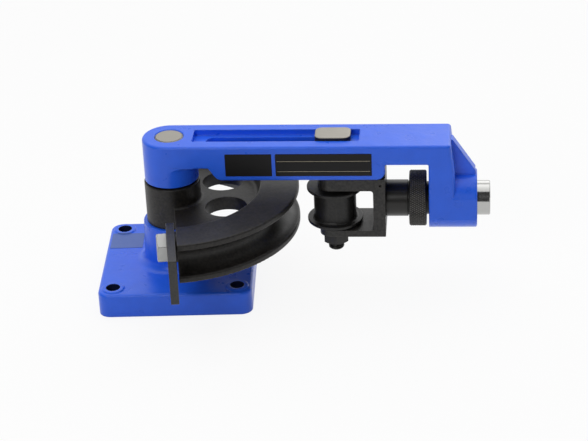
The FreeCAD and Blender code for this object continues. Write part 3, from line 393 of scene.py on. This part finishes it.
def blackOxide(o):
    # Turned steel with oiled black oxide: near black and faintly brown, a tighter shine drawn out by
    # fine tool marks round the axis. The marks are 0.9 mm apart, wider than real, to show at all.
    finish, tree, shader, coords = newFinish(o["name"], Roughness=o["roughness"], IOR=1.5,
                                             Specular_IOR_Level=o["shine"])
    cloud = addNode(tree, "ShaderNodeTexNoise", {"Scale": perMm(o["cloudSize"]), "Detail": 3.0},
                    {"Vector": coords})
    tint = addNode(tree, "ShaderNodeMix", {6: linearColour(o["colour"]), 7: linearColour(o["cloud"])},
                   {"Factor": cloud.outputs["Fac"]}, data_type="RGBA")
    tree.links.new(tint.outputs[2], shader.inputs["Base Color"])
    stretch = o["turningStretch"]
    apart = addNode(tree, "ShaderNodeMapping", {"Scale": (1.0, stretch, stretch)}, {"Vector": coords})
    marks = addNode(tree, "ShaderNodeTexNoise", {"Scale": perMm(o["turning"]), "Detail": 2.0},
                    {"Vector": apart.outputs[0]})
    edge = addNode(tree, "ShaderNodeBevel", {"Radius": o["edge"]}, samples=4)
    cut = addNode(tree, "ShaderNodeBump", {"Distance": o["turningDepth"]},
                  {"Height": marks.outputs["Fac"], "Normal": edge.outputs["Normal"]})
    tree.links.new(cut.outputs[0], shader.inputs["Normal"])
    return finish


# the near-black rim colour below is painted shade, for the shadowed gap round the pin
groundLook = dict(colour="#aba79f", dull="#928f88", roughness=0.42, scratch=0.8, scratchStretch=0.06,
                  scratchTurn=0.5, scratchDepth=0.01 * mm, edge=1.0 * mm, rimShade="#191715",
                  rimShadeFrom=0.995, rimShadeFull=0.94)


def groundSteel(g):
    # Bare steel ground flat: warm light grey metal with short parallel scratches and no mirror image,
    # outlined by painted shade at its rim, where the gap round it lies in shadow. The scratches are 0.8 mm
    # apart, wider than real, to show at all.
    finish, tree, shader, coords = newFinish("groundBareSteel", Metallic=1.0, Roughness=g["roughness"])
    apart = addNode(tree, "ShaderNodeMapping",
                    {"Scale": (g["scratchStretch"], 1.0, 1.0), "Rotation": (0, 0, g["scratchTurn"])},
                    {"Vector": coords})
    lines = addNode(tree, "ShaderNodeTexNoise", {"Scale": perMm(g["scratch"]), "Detail": 4.0},
                    {"Vector": apart.outputs[0]})
    tint = addNode(tree, "ShaderNodeMix", {6: linearColour(g["dull"]), 7: linearColour(g["colour"])},
                   {"Factor": lines.outputs["Fac"]}, data_type="RGBA")
    edge = addNode(tree, "ShaderNodeBevel", {"Radius": g["edge"]}, samples=4)
    # painted shade: the rim darkened towards near black
    rimShadeMask = edgeMask(tree, edge, 1.0, g["rimShadeFrom"], g["rimShadeFull"])
    rimShaded = addNode(tree, "ShaderNodeMix", {7: linearColour(g["rimShade"])},
                      {"Factor": rimShadeMask.outputs[0], 6: tint.outputs[2]}, data_type="RGBA")
    tree.links.new(rimShaded.outputs[2], shader.inputs["Base Color"])
    cut = addNode(tree, "ShaderNodeBump", {"Distance": g["scratchDepth"]},
                  {"Height": lines.outputs["Fac"], "Normal": edge.outputs["Normal"]})
    tree.links.new(cut.outputs[0], shader.inputs["Normal"])
    return finish


# the dark edge colour below is painted shade
zincLook = dict(colour="#cecfce", cloud="#bbbbbb", metallic=0.35, roughness=0.6, cloudSize=6.0,
                edge=0.9 * mm, edgeShade="#3b3a38", edgeShadeFrom=0.98, edgeShadeFull=0.9)


def zincPlate(z):
    # Zinc on a forged bolt: pale grey under a milky passivation with soft clouds, and painted shade along
    # its edges
    finish, tree, shader, coords = newFinish("passivatedZincPlate", Metallic=z["metallic"],
                                             Roughness=z["roughness"])
    cloud = addNode(tree, "ShaderNodeTexNoise", {"Scale": perMm(z["cloudSize"]), "Detail": 4.0},
                    {"Vector": coords})
    tint = addNode(tree, "ShaderNodeMix", {6: linearColour(z["cloud"]), 7: linearColour(z["colour"])},
                   {"Factor": cloud.outputs["Fac"]}, data_type="RGBA")
    edge = addNode(tree, "ShaderNodeBevel", {"Radius": z["edge"]}, samples=4)
    # painted shade: edges darkened towards a dark grey
    edgeShadeMask = edgeMask(tree, edge, 1.0, z["edgeShadeFrom"], z["edgeShadeFull"])
    edgeShaded = addNode(tree, "ShaderNodeMix", {7: linearColour(z["edgeShade"])},
                    {"Factor": edgeShadeMask.outputs[0], 6: tint.outputs[2]}, data_type="RGBA")
    tree.links.new(edgeShaded.outputs[2], shader.inputs["Base Color"])
    tree.links.new(edge.outputs["Normal"], shader.inputs["Normal"])
    return finish


tubeLook = dict(colour="#b4b4b2", roughness=0.13, glossSpread=(-0.04, 0.08), polish=0.5,
                polishStretch=0.03, polishDepth=0.002 * mm)


def polishedTube(t):
    # Plated steel tube polished round and round: mirror bands along it and very fine rings, which are
    # 0.5 mm apart, wider than real, to show at all
    finish, tree, shader, coords = newFinish("polishedPlatedTube", Metallic=1.0,
                                             Base_Color=linearColour(t["colour"]))
    stretch = t["polishStretch"]
    apart = addNode(tree, "ShaderNodeMapping", {"Scale": (1.0, stretch, stretch)}, {"Vector": coords})
    rings = addNode(tree, "ShaderNodeTexNoise", {"Scale": perMm(t["polish"]), "Detail": 2.0},
                    {"Vector": apart.outputs[0]})
    smooth, dull = (t["roughness"] + change for change in t["glossSpread"])
    haze = addNode(tree, "ShaderNodeMapRange", {"To Min": smooth, "To Max": dull},
                   {"Value": rings.outputs["Fac"]})
    tree.links.new(haze.outputs[0], shader.inputs["Roughness"])
    cut = addNode(tree, "ShaderNodeBump", {"Distance": t["polishDepth"]}, {"Height": rings.outputs["Fac"]})
    tree.links.new(cut.outputs[0], shader.inputs["Normal"])
    return finish


bronzeLook = dict(colour="#a87a45", dark="#8a6034", roughness=0.4, cloudSize=3.0)


def bearingBronze(b):
    # Cast bearing bronze: warm brown-gold metal, dull
    finish, tree, shader, coords = newFinish("bearingBronze", Metallic=1.0, Roughness=b["roughness"])
    cloud = addNode(tree, "ShaderNodeTexNoise", {"Scale": perMm(b["cloudSize"])}, {"Vector": coords})
    tint = addNode(tree, "ShaderNodeMix", {6: linearColour(b["dark"]), 7: linearColour(b["colour"])},
                   {"Factor": cloud.outputs["Fac"]}, data_type="RGBA")
    tree.links.new(tint.outputs[2], shader.inputs["Base Color"])
    return finish


filmLook = dict(colour="#4060ac", pale="#4d6bb2", roughness=0.45, fleck=5.0, edge=0.3 * mm)


def satinFilm(f):
    # Blank polyester sticker: grey-blue, flatter than the enamel under it, pressed down over the boss
    finish, tree, shader, coords = newFinish("satinPolyesterFilm", Roughness=f["roughness"], IOR=1.5)
    fleck = addNode(tree, "ShaderNodeTexNoise", {"Scale": perMm(f["fleck"])}, {"Vector": coords})
    tint = addNode(tree, "ShaderNodeMix", {6: linearColour(f["colour"]), 7: linearColour(f["pale"])},
                   {"Factor": fleck.outputs["Fac"]}, data_type="RGBA")
    tree.links.new(tint.outputs[2], shader.inputs["Base Color"])
    edge = addNode(tree, "ShaderNodeBevel", {"Radius": f["edge"]}, samples=4)
    tree.links.new(edge.outputs["Normal"], shader.inputs["Normal"])
    return finish


enamel = glossEnamel(enamelLook)
baseEnamel = glossEnamel(baseLook)
satin = satinBlack(blackLook)
dieBlack = satinBlack(dieLook)
plateBlack = satinBlack(plateLook)
yokeBlack = satinBlack(yokeLook)
oxide = blackOxide(oxideLook)
glintPeakOxide = blackOxide(glintPeakLook)
ground = groundSteel(groundLook)
zinc = zincPlate(zincLook)
tubePolish = polishedTube(tubeLook)
bronze = bearingBronze(bronzeLook)
film = satinFilm(filmLook)

nodeFinish = dict(
    base_casting=baseEnamel, arm_casting=enamel,
    bending_die=dieBlack, clamp_plate=plateBlack, yoke=yokeBlack, roller=satin,
    pivot_pin=ground, die_dowels=ground, swivel_pin=ground,
    clamp_bolt=zinc, clamp_spacer=oxide, lever_tube=tubePolish, roller_bush=bronze,
    thrust_washer=oxide, roller_washer_upper=oxide, roller_washer_lower=oxide, nut_washer=oxide,
    roller_nut=oxide, thrust_sleeve=oxide, feed_screw=oxide, base_label=film,
)
for nodeName, finish in nodeFinish.items():
    nodes[nodeName].data.materials.clear()
    nodes[nodeName].data.materials.append(finish)
print("finishes on", len(nodeFinish), "CAD nodes")


# the knurl is 2.2 mm apart, coarser than real, to show at all
ringLook = dict(pitch=2.2 * mm, depth=0.6 * mm, helix=30, chamfer=1.2 * mm, bore=17.02 * mm,
                samplesRound=8, rowStep=0.25 * mm, glintPeakDepth=0.25 * mm)


def knurledRing(k):
    # Radius = outer - depth * (1 - min(w(a), w(b))), with a and b = turns * count / one turn
    # plus and minus x / axial pitch, and w the triangle wave: two crossed sets of V grooves. Faces
    # near the outer radius are the peaks, lighter in colour as a painted highlight.
    low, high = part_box("knurled_ring")
    outer, centreZ = (high.y - low.y) / 2, (high.z + low.z) / 2
    count = round(2 * math.pi * outer / k["pitch"])
    turn = np.linspace(0, 2 * math.pi, count * k["samplesRound"], endpoint=False)[None, :]
    bandStart, bandEnd = low.x + k["chamfer"], high.x - k["chamfer"]
    band = np.linspace(bandStart, bandEnd, int((bandEnd - bandStart) / k["rowStep"]))
    edge = outer - k["chamfer"]
    x = np.concatenate([[low.x, low.x], band, [high.x, high.x]])[:, None]
    plain = np.concatenate([[k["bore"], edge], np.full(len(band), outer), [edge, k["bore"]]])[:, None]
    around = turn * count / (2 * math.pi)
    apart = (x - low.x) * math.tan(math.radians(k["helix"])) / k["pitch"]
    height = np.minimum(triangleWave(around + apart), triangleWave(around - apart))
    knurled = plain > outer - 0.001 * mm
    radius = plain - k["depth"] * (1 - height) * knurled
    points = aboutAxis("x", (0, 0, centreZ), x, radius, turn)
    ring = makePiece("knurledRing", [(points, True)], [oxide, glintPeakOxide], "screw",
                     ["knurled_ring"], sharp=25)
    # painted highlight: faces at the knurl's peaks get the lighter oxide
    centres = faceCentres(ring) - np.array([0, 0, centreZ])
    inBand = (centres[:, 0] > bandStart) & (centres[:, 0] < bandEnd)
    paintedGlint = inBand & (np.hypot(centres[:, 1], centres[:, 2]) > outer - k["glintPeakDepth"])
    ring.data.polygons.foreach_set("material_index", paintedGlint.astype(np.int32))
    return ring


knurledRing(ringLook)
print("knurled ring made")


# sliding rectangular head, ground on top, with a shank that is threaded from its tail to the nut's top
boltLook = dict(seat=155.1 * mm, corner=7.0 * mm, edge=0.8 * mm, crown=0.12 * mm, shank=8.0 * mm,
                threadPitch=2.0 * mm, threadDepth=1.1 * mm, chamfer=1.5 * mm,
                crownRows=(0.85, 0.65, 0.4, 0.15), edgeSteps=7, shankSteps=48, threadSteps=8,
                overlap=1.0 * mm, groundFrom=0.45)


def rollerBolt(b):
    low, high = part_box("roller_bolt")
    middle = np.array([(low.x + high.x) / 2, 0.0])
    halfX, halfY, top = (high.x - low.x) / 2, (high.y - low.y) / 2, high.z
    # head: the rounded outline drawn in along a quarter circle, then scaled to the middle while the
    # height rises as crown * (1 - scale ^ 2)
    outer = roundedOutline(halfX, halfY, b["corner"])
    bend = np.linspace(0, math.pi / 2, b["edgeSteps"])
    rows = [(outer, b["seat"])]
    for inset, rise in zip(b["edge"] * (1 - np.cos(bend)), b["edge"] * np.sin(bend)):
        line = roundedOutline(halfX - inset, halfY - inset, b["corner"] - inset)
        rows.append((line, top - b["crown"] - b["edge"] + rise))
    inner = rows[-1][0]
    rows += [(inner * s, top - b["crown"] * s * s) for s in b["crownRows"]]
    head = np.stack([np.column_stack([line + middle, np.full(len(line), z)]) for line, z in rows])
    # shank: radius = shank - depth * w(z / pitch - turn), cut down to the end chamfer
    turn = np.linspace(0, 2 * math.pi, b["shankSteps"], endpoint=False)[None, :]
    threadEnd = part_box("roller_nut")[1].z
    fine = np.arange(low.z, threadEnd, b["threadPitch"] / b["threadSteps"])
    z = np.concatenate([fine, [threadEnd + b["threadPitch"], b["seat"] + b["overlap"]]])[:, None]
    thread = triangleWave(z / b["threadPitch"] - turn / (2 * math.pi))
    radius = b["shank"] - b["threadDepth"] * thread * (z <= threadEnd)
    radius = np.minimum(radius, b["shank"] - b["chamfer"] + (z - low.z))
    shank = aboutAxis("z", (middle[0], 0, 0), z, radius, turn)
    bolt = makePiece("rollerBolt", [(head, False), (shank, False)], [oxide, ground], "yoke",
                     ["roller_bolt"])
    onTop = faceCentres(bolt)[:, 2] > top - b["crown"] - b["groundFrom"] * b["edge"]
    bolt.data.polygons.foreach_set("material_index", onTop.astype(np.int32))
    return bolt


rollerBolt(boltLook)
print("roller bolt made")


screwLook = dict(
    screws=[  # name, node it stands for, body, hexagon across flats and its depth
        ("pivotLockScrew", "pivot_lock_screw", "base", 4.0 * mm, 4.0 * mm),
        ("tubeLockScrew", "tube_lock_screw", "arm", 4.0 * mm, 4.0 * mm),
        ("ringGrubScrew", "ring_grub_screw", "screw", 3.0 * mm, 3.0 * mm),
    ],
    steps=48, chamfer=0.5 * mm, point=0.6, mouth=0.25 * mm, drillTip=0.4 * mm, drillPoint=0.5,
)


def socketScrew(name, node, body, across, depth, s):
    # Along Y. The socket's radius is its half width / cos(angle from the nearest flat's middle).
    low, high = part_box(node)
    radius = (high.x - low.x) / 2
    centre = ((low.x + high.x) / 2, 0, (low.z + high.z) / 2)
    turn = np.linspace(0, 2 * math.pi, s["steps"], endpoint=False)
    fromFlat = (turn + math.pi / 6) % (math.pi / 3) - math.pi / 6
    socket = across / 2 / np.cos(fromFlat)
    full = np.full_like(turn, radius)
    chamfer, mouth = s["chamfer"], s["mouth"]
    rows = [(low.y, full * s["point"]), (low.y + chamfer, full), (high.y - chamfer, full),
            (high.y, full - chamfer), (high.y, socket + mouth), (high.y - mouth, socket),
            (high.y - depth, socket), (high.y - depth - s["drillTip"], socket * s["drillPoint"])]
    along = np.array([row[0] for row in rows])[:, None]
    points = aboutAxis("y", centre, along, np.stack([row[1] for row in rows]), turn[None, :])
    return makePiece(name, [(points, False)], [oxide], body, [node])


for one in screwLook["screws"]:
    socketScrew(*one, screwLook)
print("lock screws made")


labelLook = dict(
    plates=[dict(name="armPlateShort", node="arm_label_short", rules=()),
            dict(name="armPlateLong", node="arm_label_long", rules=(0.33, 0.79))],
    corner=0.7 * mm, edge=0.08 * mm, ruleHeight=0.45 * mm, ruleInset=1.6 * mm,
    black="#141314", rule="#a59d88", roughness=0.35, shine=0.2, grain=0.8, grainDepth=0.02 * mm,
    grainStrength=0.08,
)


def printedBlack(name, low, high, rules, p):
    # Screen-printed black on a thin aluminium plate: even dark face with a low shine, and thin light
    # rules where the plate has them. Its grain of 0.8 mm is coarser than real, to show at all.
    finish, tree, shader, coords = newFinish(name, Base_Color=linearColour(p["black"]),
                                             Roughness=p["roughness"], Specular_IOR_Level=p["shine"])
    grain = addNode(tree, "ShaderNodeTexNoise", {"Scale": perMm(p["grain"]), "Detail": 2.0},
                    {"Vector": coords})
    face = addNode(tree, "ShaderNodeBump", {"Strength": p["grainStrength"], "Distance": p["grainDepth"]},
                   {"Height": grain.outputs["Fac"]})
    tree.links.new(face.outputs[0], shader.inputs["Normal"])
    if rules:
        split = addNode(tree, "ShaderNodeSeparateXYZ", links={0: coords})
        middle, half = (low.x + high.x) / 2, (high.x - low.x) / 2 - p["ruleInset"]
        inX = addNode(tree, "ShaderNodeMath", {1: middle, 2: half}, {0: split.outputs["X"]},
                      operation="COMPARE")
        masks = []
        for part in rules:
            height = high.z - part * (high.z - low.z)
            inZ = addNode(tree, "ShaderNodeMath", {1: height, 2: p["ruleHeight"] / 2},
                          {0: split.outputs["Z"]}, operation="COMPARE")
            masks.append(inZ.outputs[0])
        either = addNode(tree, "ShaderNodeMath", links={0: masks[0], 1: masks[1]}, operation="MAXIMUM")
        drawn = addNode(tree, "ShaderNodeMath", links={0: either.outputs[0], 1: inX.outputs[0]},
                        operation="MULTIPLY")
        tint = addNode(tree, "ShaderNodeMix", {6: linearColour(p["black"]), 7: linearColour(p["rule"])},
                       {"Factor": drawn.outputs[0]}, data_type="RGBA")
        tree.links.new(tint.outputs[2], shader.inputs["Base Color"])
    return finish


def labelPlate(one, p):
    # the rounded outline of the plate, carried out over its thickness and drawn in at the front edge
    low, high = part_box(one["node"])
    middle = np.array([(low.x + high.x) / 2, (low.z + high.z) / 2])
    halfX, halfZ = (high.x - low.x) / 2, (high.z - low.z) / 2
    rows = [(0.0, high.y), (0.0, low.y + p["edge"]), (p["edge"], low.y)]
    lines = [(roundedOutline(halfX - inset, halfZ - inset, p["corner"] - inset) + middle, y)
             for inset, y in rows]
    points = np.stack([np.column_stack([line[:, 0], np.full(len(line), y), line[:, 1]])
                       for line, y in lines])
    finish = printedBlack(one["name"] + "Print", low, high, one["rules"], p)
    return makePiece(one["name"], [(points, False)], [finish], "arm", [one["node"]])


for one in labelLook["plates"]:
    labelPlate(one, labelLook)
print("label plates made")
